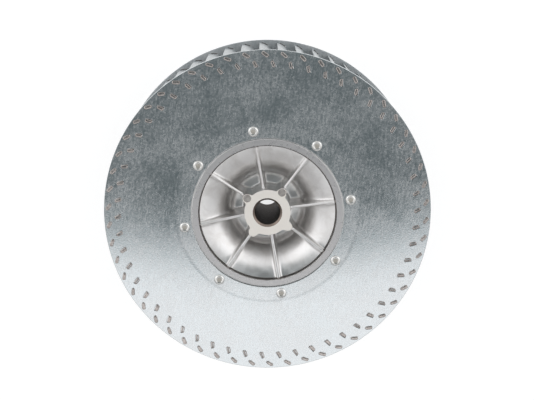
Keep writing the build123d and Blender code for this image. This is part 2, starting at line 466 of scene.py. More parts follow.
    def drawn_out(
        self, tree: bpy.types.NodeTree, place: bpy.types.NodeSocket,
        angle: float, width: float, length: float, shift: float = 0.0,
    ) -> bpy.types.NodeSocket:
        """Stretch the position for marks that run one way.

        Args:
            tree: The material's node tree.
            place: The position on the wheel.
            angle: Turn of the marks in degrees.
            width: Their width in millimetres.
            length: Their length in millimetres.
            shift: A move, so that two sets of marks differ.

        Returns:
            The stretched position.
        """
        turned = add_node(tree, "ShaderNodeMapping", {
            "Rotation": (0.0, 0.0, math.radians(angle)), "Location": (shift, shift / 2, 0.0),
        }, {"Vector": place}).outputs[0]
        return add_node(tree, "ShaderNodeVectorMath", {
            "operation": "MULTIPLY", 1: (1 / (width * MM), 1 / (length * MM), 0.0),
        }, {0: turned}).outputs[0]

    def scratches(
        self, tree: bpy.types.NodeTree, place: bpy.types.NodeSocket
    ) -> bpy.types.NodeSocket:
        """Draw the scratches.

        Args:
            tree: The material's node tree.
            place: The position on the wheel.

        Returns:
            A value that is 1 on a scratch and 0 beside it.
        """
        total = None
        for number, angle in enumerate(self.scratch_angles):
            turned = self.drawn_out(tree, place, angle, self.scratch_width,
                                    self.scratch_length, 0.31 * number)
            streaks = add_node(tree, "ShaderNodeTexNoise", {
                "Scale": 1.0, "Detail": 1.5, "Distortion": 0.15,
            }, {"Vector": turned}).outputs[0]
            line = add_node(tree, "ShaderNodeMapRange", {
                "From Min": 0.70, "From Max": 0.78, "To Max": 0.35,
            }, {"Value": streaks}).outputs[0]
            total = line if total is None else add_node(
                tree, "ShaderNodeMath", {"operation": "MAXIMUM"}, {0: total, 1: line}).outputs[0]
        return total

    def flange_mark(
        self, tree: bpy.types.NodeTree, place: bpy.types.NodeSocket
    ) -> bpy.types.NodeSocket:
        """Draw the round print that the hub's flange leaves in the sheet.

        Args:
            tree: The material's node tree.
            place: The position on the wheel.

        Returns:
            A value that rises from 0 inside the flange's edge to 1 outside it.
        """
        flat = add_node(tree, "ShaderNodeVectorMath", {
            "operation": "MULTIPLY", 1: (1.0, 1.0, 0.0)}, {0: place}).outputs[0]
        radius = add_node(tree, "ShaderNodeVectorMath", {"operation": "LENGTH"},
                          {0: flat}).outputs["Value"]
        return add_node(tree, "ShaderNodeMapRange", {
            "interpolation_type": "SMOOTHSTEP",
            "From Min": (self.flange_mark_radius - self.flange_mark_width) * MM,
            "From Max": (self.flange_mark_radius + self.flange_mark_width) * MM,
        }, {"Value": radius}).outputs[0]


@dataclass(frozen=True)
class CoinedTab(Metal):
    """Tab end of a blade, struck flat by the closing tool: the zinc is rubbed thin, so it
    is duller and browner than the sheet round it."""

    name: str = "galvanised_steel_coined"
    colour: str = "#a39c98"
    roughness: float = 0.22
    pale_colour: str = "#c0b9b5"
    patch: float = 2.2

    def build(self) -> bpy.types.Material:
        """Return the material."""
        material, shader, place = self.start()
        tree = material.node_tree
        patch = add_node(tree, "ShaderNodeTexNoise", {
            "Scale": 1 / (self.patch * MM), "Detail": 3.0,
        }, {"Vector": place}).outputs[0]
        tone = add_node(tree, "ShaderNodeMapRange", {
            "From Min": 0.35, "From Max": 0.65}, {"Value": patch}).outputs[0]
        colour = add_node(tree, "ShaderNodeMix", {
            "data_type": "RGBA", 6: linear(self.colour), 7: linear(self.pale_colour),
        }, {0: tone}).outputs[2]
        tree.links.new(colour, shader.inputs["Base Color"])
        self.emboss(tree, shader, ((patch, 0.2, 0.0003),))
        return material


@dataclass(frozen=True)
class DieCastAluminium(Metal):
    """Pressure die-cast aluminium, vibratory finished: a warm grey skin with soft gloss,
    flow marks and a fine pebble."""

    name: str = "aluminium_die_cast"
    colour: str = "#e9e8e7"
    roughness: float = 0.32
    dull_colour: str = "#dad8d6"
    pebble: float = 0.9
    flow: float = 13.0

    def build(self) -> bpy.types.Material:
        """Return the material."""
        material, shader, place = self.start()
        tree = material.node_tree
        pebble = add_node(tree, "ShaderNodeTexNoise", {
            "Scale": 1 / (self.pebble * MM), "Detail": 3.0,
        }, {"Vector": place}).outputs[0]
        flow = add_node(tree, "ShaderNodeTexNoise", {
            "Scale": 1 / (self.flow * MM), "Detail": 6.0, "Roughness": 0.62, "Distortion": 0.6,
        }, {"Vector": place}).outputs[0]
        tone = add_node(tree, "ShaderNodeMapRange", {
            "From Min": 0.38, "From Max": 0.6}, {"Value": flow}).outputs[0]
        colour = add_node(tree, "ShaderNodeMix", {
            "data_type": "RGBA", 6: linear(self.dull_colour), 7: linear(self.colour),
        }, {0: tone}).outputs[2]
        rough = add_node(tree, "ShaderNodeMapRange", {
            "From Min": 0.35, "From Max": 0.65,
            "To Min": self.roughness - 0.04, "To Max": self.roughness + 0.05,
        }, {"Value": flow}).outputs[0]
        tree.links.new(colour, shader.inputs["Base Color"])
        tree.links.new(rough, shader.inputs["Roughness"])
        self.emboss(tree, shader, ((pebble, 0.12, 0.0003), (flow, 0.08, 0.001)))
        return material


@dataclass(frozen=True)
class TurnedAluminium(Metal):
    """Aluminium faced on a lathe: fine rings about the shaft, bright but not mirror-like."""

    name: str = "aluminium_turned"
    colour: str = "#f8f3ec"
    roughness: float = 0.5
    feed: float = 1.1             # ring spacing, drawn coarser than the real 0.15 mm
    patch: float = 3.0

    def build(self) -> bpy.types.Material:
        """Return the material."""
        material, shader, place = self.start()
        tree = material.node_tree
        rings = add_node(tree, "ShaderNodeTexWave", {
            "wave_type": "RINGS", "rings_direction": "Z",
            "Scale": math.pi / 10 / (self.feed * MM), "Distortion": 0.4, "Detail": 1.0,
        }, {"Vector": place}).outputs["Fac"]
        patch = add_node(tree, "ShaderNodeTexNoise", {
            "Scale": 1 / (self.patch * MM), "Detail": 4.0,
        }, {"Vector": place}).outputs[0]
        rough = add_node(tree, "ShaderNodeMapRange", {
            "From Min": 0.3, "From Max": 0.7,
            "To Min": self.roughness - 0.04, "To Max": self.roughness + 0.04,
        }, {"Value": patch}).outputs[0]
        tree.links.new(rough, shader.inputs["Roughness"])
        self.emboss(tree, shader, ((rings, 0.05, 0.0002),))
        return material


@dataclass(frozen=True)
class DrawnMetal(Metal):
    """A smooth metal with faint marks, drawn, reamed or struck: for the rivets and their
    dimples, the bore and its chamfer, the seam inside the rim and the set screw. The dark
    colours of the bore, the chamfer and the seam are painted shade."""

    patch: float = 1.6
    spread: float = 0.08
    smoothest: float = 0.04       # a mirror is never this clean in use

    def build(self) -> bpy.types.Material:
        """Return the material."""
        material, shader, place = self.start()
        tree = material.node_tree
        patch = add_node(tree, "ShaderNodeTexNoise", {
            "Scale": 1 / (self.patch * MM), "Detail": 4.0,
        }, {"Vector": place}).outputs[0]
        rough = add_node(tree, "ShaderNodeMapRange", {
            "From Min": 0.3, "From Max": 0.7,
            "To Min": max(self.smoothest, self.roughness - self.spread),
            "To Max": self.roughness + self.spread,
        }, {"Value": patch}).outputs[0]
        tree.links.new(rough, shader.inputs["Roughness"])
        self.emboss(tree, shader, ((patch, 0.08, 0.0002),))
        return material


# ---- levels shared by the pieces ----------------------------------------------------
@dataclass(frozen=True)
class Levels:
    """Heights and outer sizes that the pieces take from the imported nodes."""

    wheel_radius: float
    plate_bottom: float
    plate_top: float
    ring_bottom: float
    ring_top: float
    flange_radius: float
    rim_top: float
    boss_end: float
    head_height: float

    @classmethod
    def from_frame(cls) -> "Levels":
        """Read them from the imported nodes.

        Returns:
            The levels in millimetres.
        """
        plate_low, plate_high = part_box("back_plate")
        ring_low, ring_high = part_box("inlet_ring")
        hub_low, hub_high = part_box("hub")
        rivet_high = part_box("rivets")[1]
        return cls(
            wheel_radius=plate_high.x / MM,
            plate_bottom=plate_low.z / MM,
            plate_top=plate_high.z / MM,
            ring_bottom=ring_low.z / MM,
            ring_top=ring_high.z / MM,
            flange_radius=hub_high.x / MM,
            rim_top=hub_high.z / MM,
            boss_end=hub_low.z / MM,
            head_height=(rivet_high.z - plate_high.z) / MM,
        )


# ---- blades -------------------------------------------------------------------------
@dataclass
class Blades:
    """Rolled blades, each with two tabs through either sheet, struck flat outside it."""

    levels: Levels
    count: int = 54
    thickness: float = 0.8
    curve_centre: Flat = (121.9, 13.1)
    curve_radius: float = 14.8
    first_angle: float = 94.3
    tab_leans: tuple[float, float] = (26.3, 67.4)
    edge_leans: tuple[float, float] = (-6.2, 88.0)
    tab_width: float = 5.4
    head_sizes: tuple[Flat, Flat] = ((5.9, 2.6), (6.3, 3.0))
    head_spots: tuple[Point, Point] = ((128.05, 0.88, 21.8), (135.87, 7.57, 59.2))
    head_corner: float = 1.3
    head_corner_least: float = 0.25
    head_profile: tuple[Flat, ...] = (   # height over the sheet, and how far it is drawn in
        (0.01, 0.22), (0.12, 0.05), (0.32, 0.0), (0.5, 0.07), (0.66, 0.25), (0.75, 0.5))
    head_top_inset: float = 0.85
    head_top_gap: float = 0.02    # under the thickness of the blade
    length_spread: Flat = (0.95, 1.05)
    width_spread: Flat = (0.92, 1.06)
    head_slip: float = 0.15
    head_turn: float = 3.0        # in degrees
    neck_corner: float = 0.2
    neck_depth: float = 2.0       # from the sheet's outer face, inward
    neck_rise: float = 0.3        # and into the head
    end_round: float = 0.18
    steps: int = 16
    seed: int = 5
    chance: random.Random = field(init=False)

    def __post_init__(self) -> None:
        """Start the chance that makes no two tab heads quite alike."""
        self.chance = random.Random(self.seed)

    def curve_point(self, radius: float, lean: float) -> Flat:
        """Return the point at a radius about the centre of the curve, by its lean."""
        angle = math.radians(lean)
        return (self.curve_centre[0] + radius * math.sin(angle),
                self.curve_centre[1] - radius * math.cos(angle))

    def places(self) -> list[Matrix]:
        """Return the turn about the shaft of each blade."""
        return [
            Matrix.Rotation(math.radians(self.first_angle + 360 / self.count * number), 4, "Z")
            for number in range(self.count)
        ]

    def tab_places(self) -> list[Matrix]:
        """Return the places of one blade's tabs, X along the sheet, Y inside the curve."""
        return [
            Matrix.Translation((*self.curve_point(self.curve_radius, lean), 0.0))
            @ Matrix.Rotation(math.radians(lean), 4, "Z")
            for lean in self.tab_leans
        ]

    def head_places(self) -> list[Matrix]:
        """Return the places of one blade's tab heads, a little inside the curve."""
        return [
            Matrix.Translation((x, y, 0.0)) @ Matrix.Rotation(math.radians(lean), 4, "Z")
            for x, y, lean in self.head_spots
        ]

    def section(self) -> list[Flat]:
        """Return the outline of the sheet, its sheared ends a little rounded."""
        half = self.thickness / 2
        low, high = self.edge_leans
        nip = math.degrees(self.end_round / self.curve_radius)
        leans = [low + nip + (high - low - 2 * nip) * step / self.steps
                 for step in range(self.steps + 1)]
        inside = [self.curve_point(self.curve_radius - half, lean) for lean in leans]
        outside = [self.curve_point(self.curve_radius + half, lean) for lean in leans]
        return [self.curve_point(self.curve_radius, low), *inside,
                self.curve_point(self.curve_radius, high), *reversed(outside)]

    def add_tab(
        self, shell: Shell, place: Matrix, head: Matrix, size: Flat, level: float, up: int
    ) -> None:
        """Add one tab: its neck in the slot and its head struck flat on the sheet.

        Args:
            shell: The blade's shell.
            place: The neck's place on the wheel.
            head: The head's place on the wheel.
            size: Length and width of the head.
            level: Height of the sheet's outer face.
            up: 1 above the back plate, -1 below the inlet ring.
        """
        neck = rounded_box(self.tab_width, self.thickness, self.neck_corner, 2)
        shell.stack([shell.ring(placed(neck, place, height))
                     for height in (level - up * self.neck_depth, level + up * self.neck_rise)],
                    1)
        length = size[0] * self.chance.uniform(*self.length_spread)
        width = size[1] * self.chance.uniform(*self.width_spread)
        slip = self.chance.uniform(-self.head_slip, self.head_slip)
        turn = math.radians(self.chance.uniform(-self.head_turn, self.head_turn))
        struck = (head @ Matrix.Translation((slip, 0.0, 0.0)) @ Matrix.Rotation(turn, 4, "Z"))
        top = (self.thickness - self.head_top_gap, self.head_top_inset)
        rings = []
        for rise, inset in (*self.head_profile, top):
            outline = rounded_box(length - 2 * inset, width - 2 * inset,
                                  max(self.head_corner_least, self.head_corner - inset), 4)
            rings.append(shell.ring(placed(outline, struck, level + up * rise)))
        shell.stack(rings, 1)

    def build(self, sheet: bpy.types.Material, tab: bpy.types.Material) -> None:
        """Build every blade, each in the place of its own node.

        Args:
            sheet: The rolled sheet.
            tab: The struck metal of the tabs.
        """
        section = self.section()
        tabs = list(zip(self.tab_places(), self.head_places(), self.head_sizes))
        for number, turn in enumerate(self.places(), start=1):
            shell = Shell()
            shell.stack([shell.ring(placed(section, turn, height)) for height in (
                self.levels.ring_top, self.levels.plate_bottom)])
            for neck, head, size in tabs:
                for level, up in ((self.levels.plate_top, 1), (self.levels.ring_bottom, -1)):
                    self.add_tab(shell, turn @ neck, turn @ head, size, level, up)
            piece = shell.to_object(f"formed_blade_{number:02d}", [sheet, tab])
            show(piece, "blade_sheet", f"blade_{number:02d}")


# ---- sheets -------------------------------------------------------------------------
@dataclass
class SheetDisc:
    """A blanked disc with a round hole and the slots of the blade tabs."""

    name: str
    node: str
    outer_radius: float
    inner_radius: float
    bottom: float
    top: float
    tabs: Sequence[Matrix]
    tab_size: Flat
    slot_clearance: float = 0.3
    slot_corner: float = 0.3      # of the slot's width
    shear_round: float = 0.35     # die roll on the side that the punch enters
    burr_round: float = 0.08      # and the sharper edge where it comes out
    steps: int = 360

    def outlines(self, inset: float) -> list[list[Flat]]:
        """Return the outlines of the sheet.

        Args:
            inset: How far all of them are moved into the sheet.

        Returns:
            The outer edge, the hole and the slots.
        """
        length, width = (size + 2 * (self.slot_clearance + inset) for size in self.tab_size)
        slot = rounded_box(length, width, width * self.slot_corner, 2)
        edges = [circle(self.outer_radius - inset, self.steps),
                 circle(self.inner_radius + inset, self.steps * 2 // 3)]
        return edges + [[point[:2] for point in placed(slot, tab, 0.0)] for tab in self.tabs]

    def build(self, material: bpy.types.Material) -> None:
        """Build the disc in the place of its node.

        Args:
            material: The sheet's finish.
        """
        shell = Shell()
        roll, burr = self.shear_round, self.burr_round
        levels = ((self.bottom, burr), (self.bottom + burr, 0.0), (self.top - roll, 0.0),
                  (self.top - 0.3 * roll, 0.3 * roll), (self.top, roll))
        edges = [
            [shell.ring([(x, y, height) for x, y in outline]) for outline in self.outlines(inset)]
            for height, inset in levels
        ]
        for lower, upper in zip(edges, edges[1:]):
            for first, second in zip(lower, upper):
                shell.band(first, second)
        shell.cap(edges[0])
        shell.cap(edges[-1])
        show(shell.to_object(self.name, [material]), "galvanised_sheet", self.node)


# ---- hub ----------------------------------------------------------------------------
class HubSlot(Enum):
    """Surfaces of the hub, by the number of their material."""

    CAST = 0
    RIM = 1
    FACE = 2
    # CHAMFER: a darker, browner copy of the turned aluminium, painted shade for the dark that the
    # chamfer reflects
    CHAMFER = 3
    # BORE: a near-black aluminium, painted shade for the dark deep inside the bore
    BORE = 4
    MARK = 5
    # CREASE: painted shade, a darker aluminium colour in the seam just inside the rim, where the
    # corner lies in shade
    CREASE = 6


@dataclass(frozen=True)
class Column:
    """One line of the hub's net, from the boss out to the rim."""

    angle: Callable[[float], float]   # angle in degrees at a radius
    ground: Callable[[float], float]  # height at a radius
    start: float                      # radius where it meets the boss


@dataclass
class Hub:
    """Ribbed die casting: boss with ejector pads, deep dish, eight ribs, turned rim and
    the flange under the back plate. A net of columns follows the ribs, so that their
    sides and fillets are clean."""

    levels: Levels
    bore_radius: float = 11.0
    bore_chamfer: float = 1.7
    boss_radius: float = 20.0
    boss_depth: float = 4.0
    collar_radius: float = 19.0
    pad_radius: float = 4.0
    pad_centre: float = 21.4
    pad_fillet: float = 2.5
    mark_radius: float = 3.6
    rim_radius: float = 64.8
    rim_inner: float = 59.5
    # crease_radius and seam bound the band of painted shade in the seam inside the rim
    crease_radius: float = 58.2
    dish_corners: tuple[Point, ...] = (
        (59.3, 5.2, 0.2), (58.5, 5.2, 0.2), (58.3, 3.7, 0.2),
        (41.5, 9.2, 38.0), (32.9, 24.1, 5.0), (30.6, 33.0, 4.5))
    back_foot: Flat = (34.5, 38.0)
    back_shoulder: Flat = (49.0, 11.0)
    boss_fillet: float = 2.4
    flange_thickness: float = 5.0
    rib_count: int = 8
    first_rib: float = 9.6
    rib_thickness: float = 2.6
    rib_heights: tuple[Flat, Flat] = ((17.4, 10.0), (62.1, 0.8))
    rib_edge: float = 1.1
    rib_draft: float = 0.35
    rib_fillet: float = 2.3
    seam: float = 0.05            # the crease starts this far inside the rim's edge
    dish_step: float = 1.6        # the most between two rings of the dish
    face_edge: tuple[Flat, ...] = ((0.0, 0.3), (0.1, 0.08), (0.22, 0.0))   # inset, drop
    mark_edge: tuple[Flat, ...] = ((0.0, 0.0), (0.08, 0.3), (0.2, 0.4))    # inset, depth
    mark_count: int = 2
    mark_steps: int = 40
    sector_steps: int = 14

    def __post_init__(self) -> None:
        """Work out the dish and the net."""
        top = self.levels.plate_top
        self.dish = rounded_path([
            (self.rim_inner, self.levels.rim_top, 0.0),
            *((radius, top - depth, rounding) for radius, depth, rounding in self.dish_corners),
            (self.boss_radius - 1, top - self.dish_corners[-1][1], 0.0),
        ], 5.0)

    def dish_height(self, radius: float) -> float:
        """Read the height of the dish off its path.

        Args:
            radius: A distance from the shaft.

        Returns:
            The height there.
        """
        if radius >= self.dish[0][0]:
            return self.dish[0][1]
        for (r0, z0), (r1, z1) in zip(self.dish, self.dish[1:]):
            if r1 <= radius <= r0:
                share = (r0 - radius) / max(r0 - r1, 1e-9)
                return z0 + share * (z1 - z0)
        return self.dish[-1][1]

    def rib_height(self, radius: float) -> float:
        """Return the height of a rib's top edge at a radius."""
        (r0, d0), (r1, d1) = self.rib_heights
        return self.levels.plate_top - d0 + (radius - r0) / (r1 - r0) * (d0 - d1)

    def pillar_radius(self, angle: float) -> float:
        """Work out the outline of the boss with its pads.

        Args:
            angle: An angle about the shaft in degrees.

        Returns:
            The radius there.
        """
        spacing = 360 / (self.rib_count // 2)
        away = math.radians(abs((angle - self.first_rib) % spacing - spacing / 2))
        pad, small, fillet = self.pad_centre, self.pad_radius, self.pad_fillet
        reach = self.boss_radius + fillet
        turn = math.acos((pad ** 2 + reach ** 2 - (small + fillet) ** 2) / (2 * pad * reach))
        centre = Vector((reach * math.cos(turn), reach * math.sin(turn)))
        touch = Vector((pad, 0.0)).lerp(centre, small / (small + fillet))
        if away >= turn:
            return self.boss_radius
        if away <= math.atan2(touch.y, touch.x):
            return pad * math.cos(away) + math.sqrt(small ** 2 - (pad * math.sin(away)) ** 2)
        along = centre.x * math.cos(away) + centre.y * math.sin(away)
        across = centre.length_squared - along ** 2
        return along - math.sqrt(max(fillet ** 2 - across, 0.0))

    def rib_profile(self) -> list[tuple[float, float, float]]:
        """Return the lines along one side of a rib.

        Returns:
            For each line its distance from the rib's middle, its drop below the top edge
            and its rise above the dish; a drop is below 0 where the rise counts.
        """
        half, edge, fillet = self.rib_thickness / 2, self.rib_edge, self.rib_fillet
        lines = [(half - edge, 0.0, 0.0)]
        for angle in (30, 60, 90):
            turn = math.radians(angle)
            lines.append((half - edge + edge * math.sin(turn), edge * (1 - math.cos(turn)), 0.0))
        for angle in (0, 20, 42, 66, 90):
            turn = math.radians(angle)
            lines.append((half + self.rib_draft + fillet * (1 - math.cos(turn)), -1.0,
                          fillet * (1 - math.sin(turn))))
        return lines

    def columns(self) -> list[Column]:
        """Return the net's columns, anticlockwise from the first rib."""
        lines = self.rib_profile()
        reach = lines[-1][0]
        pitch = 360 / self.rib_count
        columns = []
        for number in range(self.rib_count):
            rib = self.first_rib + pitch * number
            offsets = [(-away, drop, rise) for away, drop, rise in reversed(lines)]
            offsets += [(0.0, 0.0, 0.0)] + lines
            for away, drop, rise in offsets:
                columns.append(self.column(
                    lambda radius, rib=rib, away=away:
                        rib + math.degrees(math.asin(away / radius)),
                    lambda radius, drop=drop, rise=rise: self.rib_ground(radius, drop, rise)))
            for step in range(1, self.sector_steps):
                share = step / self.sector_steps
                columns.append(self.column(
                    lambda radius, rib=rib, share=share:
                        rib + math.degrees(math.asin(reach / radius))
                        + share * (pitch - 2 * math.degrees(math.asin(reach / radius))),
                    self.dish_height))
        return columns

    def rib_ground(self, radius: float, drop: float, rise: float) -> float:
        """Work out the height on a rib, where both its rounding and its fillet fit.

        Args:
            radius: A distance from the shaft.
            drop: The line's drop below the rib's top edge, or below 0 for a rise.
            rise: The line's rise above the dish.

        Returns:
            The height there.
        """
        dish, crest = self.dish_height(radius), self.rib_height(radius)
        tall = max(crest - dish, 0.0)
        fit = min(1.0, tall / (self.rib_edge + self.rib_fillet))
        return dish + (tall - drop * fit if drop >= 0 else rise * fit)

    def column(
        self, angle: Callable[[float], float], ground: Callable[[float], float]
    ) -> Column:
        """Make a column, with the radius where it meets the boss found by halving.

        Args:
            angle: Its angle in degrees at a radius.
            ground: Its height at a radius.

        Returns:
            The column.
        """
        low, high = self.boss_radius - 1.0, self.pad_centre + self.pad_radius + 1.0
        for _ in range(40):
            middle = (low + high) / 2
            if middle > self.pillar_radius(angle(middle)):
                high = middle
            else:
                low = middle
        return Column(angle, ground, high)

    def build(self, materials: Sequence[bpy.types.Material]) -> None:
        """Build the casting in the place of its node.

        Args:
            materials: One for each member of HubSlot, in its order.
        """
        shell = Shell()
        columns = self.columns()
        face = self.levels.plate_top - self.boss_depth
        rings = self.dish_rings(shell, columns)
        rings += self.boss_rings(shell, columns, face)
        back = self.back_rings(shell, columns)
        for first, second in zip(rings, rings[1:]):
            # Bands in the seam just inside the rim take the crease material, which is painted
            # shade for that corner
            edges = [math.hypot(*shell.corners[ring[0]][:2]) for ring in (first, second)]
            crease = edges[0] < self.rim_inner - self.seam and edges[1] > self.crease_radius
            shell.band(first, second, (HubSlot.CREASE if crease else HubSlot.CAST).value)
        self.add_boss_face(shell, rings[-1], back, face, columns)
        shell.band(back[-1], rings[0], HubSlot.RIM.value)
        piece = shell.to_object("hub_casting", materials, 32.0)
        show(piece, "cast_aluminium", "hub")

    def dish_rings(self, shell: Shell, columns: Sequence[Column]) -> list[list[int]]:
        """Add the rings from the rim's inner edge down the dish to the boss.

        Args:
            shell: The hub's shell.
            columns: The lines of its net.

        Returns:
            The rings.
        """
        edge = self.pad_centre + self.pad_radius + self.boss_fillet + 0.2
        radii = [self.rim_inner - 0.001]
        for (r0, _), (r1, _) in zip(self.dish, self.dish[1:]):
            pieces = max(1, math.ceil((r0 - r1) / self.dish_step))
            radii += [r0 + (r1 - r0) * step / pieces for step in range(1, pieces + 1)]
        radii = [radius for radius in radii if radius > edge]
        rings = [shell.ring([self.spot(column, radius) for column in columns])
                 for radius in radii]
        for share in (0.35, 0.7):
            rings.append(shell.ring([
                self.spot(column, edge + share * (column.start + self.boss_fillet - edge))
                for column in columns]))
        return rings

    def spot(self, column: Column, radius: float) -> Point:
        """Return a column's point at a radius."""
        turn = math.radians(column.angle(radius))
        return radius * math.cos(turn), radius * math.sin(turn), column.ground(radius)

    def boss_rings(
        self, shell: Shell, columns: Sequence[Column], face: float
    ) -> list[list[int]]:
        """Add the rings of the fillet at the boss, its side and the edge of its face.

        Args:
            shell: The hub's shell.
            columns: The lines of its net.
            face: The height of the boss's face.

        Returns:
            The rings.
        """
        rings = []
        fillet = self.boss_fillet
        for angle in (0, 18, 36, 54, 72, 90):
            turn = math.radians(angle)
            points = []
            for column in columns:
                radius = column.start + fillet * (1 - math.sin(turn))
                x, y, ground = self.spot(column, radius)
                points.append((x, y, ground + fillet * (1 - math.cos(turn))))
            rings.append(shell.ring(points))
        foot = [shell.corners[number][2] for number in rings[-1]]
        brow = face - self.face_edge[0][1]
        for share in (0.25, 0.5, 0.75):
            rings.append(shell.ring([
                (*self.spot(column, column.start)[:2], low + share * (brow - low))
                for column, low in zip(columns, foot)]))
        for inset, drop in self.face_edge:
            rings.append(shell.ring([
                (*self.spot(column, column.start - inset)[:2], face - drop)
                for column in columns]))
        return rings

    def back_rings(self, shell: Shell, columns: Sequence[Column]) -> list[list[int]]:
        """Add the rings from the bore round the back of the web and flange to the rim.

        Args:
            shell: The hub's shell.
            columns: The lines of its net.

        Returns:
            The rings.
        """
        levels = self.levels
        flange_top = levels.plate_bottom
        flange_low = flange_top - self.flange_thickness
        floor = levels.plate_top - self.back_foot[1]
        path = rounded_path([
            (self.bore_radius, levels.boss_end + 0.5, 0.0),
            (self.bore_radius + 0.5, levels.boss_end, 0.0),
            (self.collar_radius, levels.boss_end, 0.8),
            (self.collar_radius, floor, 3.0),
            (self.back_foot[0], floor, 6.0),
            (self.back_shoulder[0], levels.plate_top - self.back_shoulder[1], 6.0),
            (self.rim_radius, flange_low, 3.0),
            (levels.flange_radius, flange_low, 0.8),
            (levels.flange_radius, flange_top, 0.5),
            (self.rim_radius, flange_top, 0.0),
            (self.rim_radius, levels.rim_top - 0.25, 0.0),
            (self.rim_radius - 0.25, levels.rim_top, 0.0),
        ], 18.0)
        rings = []
        for radius, height in path:
            rings.append(shell.ring([
                (radius * math.cos(turn), radius * math.sin(turn), height)
                for turn in (math.radians(column.angle(self.rim_radius)) for column in columns)]))
        shell.chain(rings, HubSlot.CAST.value)
        return rings

    def add_boss_face(
        self, shell: Shell, outline: list[int], back: list[list[int]], face: float,
        columns: Sequence[Column],
    ) -> None:
        """Close the boss: its turned face with the pad marks, the chamfer and the bore.

        Args:
            shell: The hub's shell.
            outline: The ring round the face.
            back: The rings of the back, from the bore on.
            face: The height of the face.
            columns: The lines of the hub's net.
        """
        top = [(self.bore_radius + self.bore_chamfer, face),
               (self.bore_radius, face - self.bore_chamfer)]
        rings = []
        for radius, height in top:
            rings.append(shell.ring([
                (radius * math.cos(turn), radius * math.sin(turn), height)
                for turn in (math.radians(column.angle(column.start)) for column in columns)]))
        holes = []
        pitch = 360 / self.rib_count
        for number in range(self.mark_count):
            turn = math.radians(self.first_rib + pitch + 2 * pitch * number)
            centre = (self.pad_centre * math.cos(turn), self.pad_centre * math.sin(turn))
            marks = [
                shell.ring([(x, y, face - depth) for x, y in circle(
                    self.mark_radius - inset, self.mark_steps, centre)])
                for inset, depth in self.mark_edge
            ]
            shell.chain(marks, HubSlot.FACE.value)
            shell.cap([marks[-1]], HubSlot.MARK.value)
            holes.append(marks[0])
        shell.cap([outline, rings[0], *holes], HubSlot.FACE.value)
        # The chamfer's darker material is painted shade
        shell.band(rings[0], rings[1], HubSlot.CHAMFER.value)
        # The bore's near-black material is painted shade
        shell.band(rings[1], back[0], HubSlot.BORE.value)


# ---- rivets -------------------------------------------------------------------------
@dataclass
class Rivets:
    """Solid rivets through back plate and flange, with a dimpled snap head."""

    levels: Levels
    count: int = 8
    circle_radius: float = 72.1
    first_angle: float = 9.6
    head_radius: float = 4.5
    shank_radius: float = 2.5
    tail_radius: float = 4.0
    tail_height: float = 1.8
    flange_thickness: float = 5.0
    head_profile: tuple[Flat, ...] = (   # radius, and height as a share of the head's
        (0.4, 0.74), (1.7, 0.76), (2.1, 0.81), (2.4, 0.90), (2.65, 0.97), (2.95, 1.0),
        (3.3, 0.95), (3.75, 0.78), (4.15, 0.52), (4.42, 0.24), (4.5, 0.03))
    dimple_rings: int = 3         # rings of the profile that the dimple takes
    steps: int = 36

    def path(self) -> list[Flat]:
        """Work out the half section of one rivet.

        Returns:
            Points from the dimple over the head down to the tail.
        """
        top, crown = self.levels.plate_top, self.levels.head_height
        low = self.levels.plate_bottom - self.flange_thickness
        scale = self.head_radius / self.head_profile[-1][0]
        points = [(radius * scale, top + share * crown) for radius, share in self.head_profile]
        tail = self.tail_radius
        return points + [
            (self.shank_radius, top + 0.02), (self.shank_radius, low),
            (tail - 0.3, low - 0.02), (tail, low - 0.4), (tail, low - self.tail_height + 0.5),
            (tail - 0.5, low - self.tail_height), (0.4, low - self.tail_height),
        ]

    def build(self, head: bpy.types.Material, struck: bpy.types.Material) -> None:
        """Build all rivets as one piece, in the place of their node.

        Args:
            head: The bright metal of head and shank.
            struck: The duller metal of the dimple.
        """
        shell = Shell()
        for number in range(self.count):
            turn = math.radians(self.first_angle + 360 / self.count * number)
            centre = (self.circle_radius * math.cos(turn), self.circle_radius * math.sin(turn))
            rings = [
                shell.ring([(x, y, height) for x, y in circle(radius, self.steps, centre)])
                for radius, height in self.path()]
            shell.cap([rings[0]], 1)
            shell.chain(rings[:self.dimple_rings], 1)
            shell.chain(rings[self.dimple_rings - 1:])
            shell.cap([rings[-1]])
        show(shell.to_object("snap_head_rivets", [head, struck], 50.0), "rivet_aluminium",
             "rivets")


